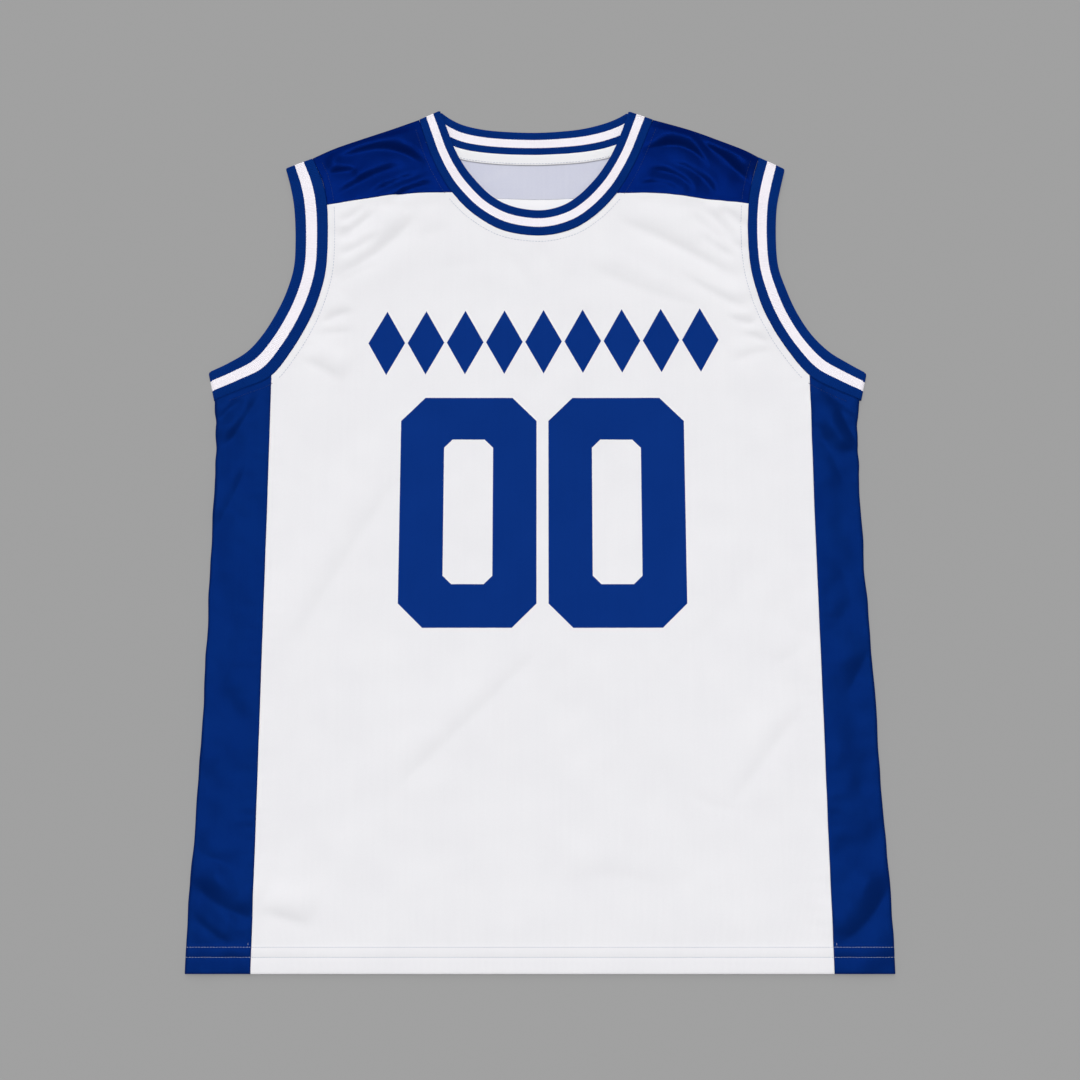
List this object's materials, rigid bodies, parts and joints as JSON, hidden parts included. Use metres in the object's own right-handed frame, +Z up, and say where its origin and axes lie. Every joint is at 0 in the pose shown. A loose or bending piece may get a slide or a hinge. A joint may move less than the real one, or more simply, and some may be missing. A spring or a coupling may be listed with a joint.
{
  "type": "sleeveless basketball jersey laid flat",
  "caption": "Sleeveless knit sports jersey laid flat on its back, with a round striped rib collar, striped rib armholes, a shoulder yoke, side panels and a turned-up hem",
  "frame": {"origin": "on the surface that the jersey lies on, under the middle of its outline", "axes": "+X to the right of the laid garment seen from above, +Y from the hem to the neck, +Z up, away from the surface"},
  "size_m": [0.553, 0.7256, 0.0051],
  "materials": {
    "white_knit": "smooth white polyester knit with a faint sheen",
    "blue_knit": "smooth royal blue polyester knit with a faint sheen",
    "striped_rib": "matt doubled rib knit in blue, white and blue stripes",
    "white_tape": "matt white twill tape"
  },
  "bodies": {
    "root": {"front_panel": "white_knit", "back_panel": "white_knit", "side_panel_left": "blue_knit", "side_panel_right": "blue_knit", "yoke_front_left": "blue_knit", "yoke_front_right": "blue_knit", "yoke_back": "blue_knit", "neck_rib": "striped_rib", "armhole_rib_left": "striped_rib", "armhole_rib_right": "striped_rib", "neck_tape": "white_tape"}
  },
  "joints": []
}
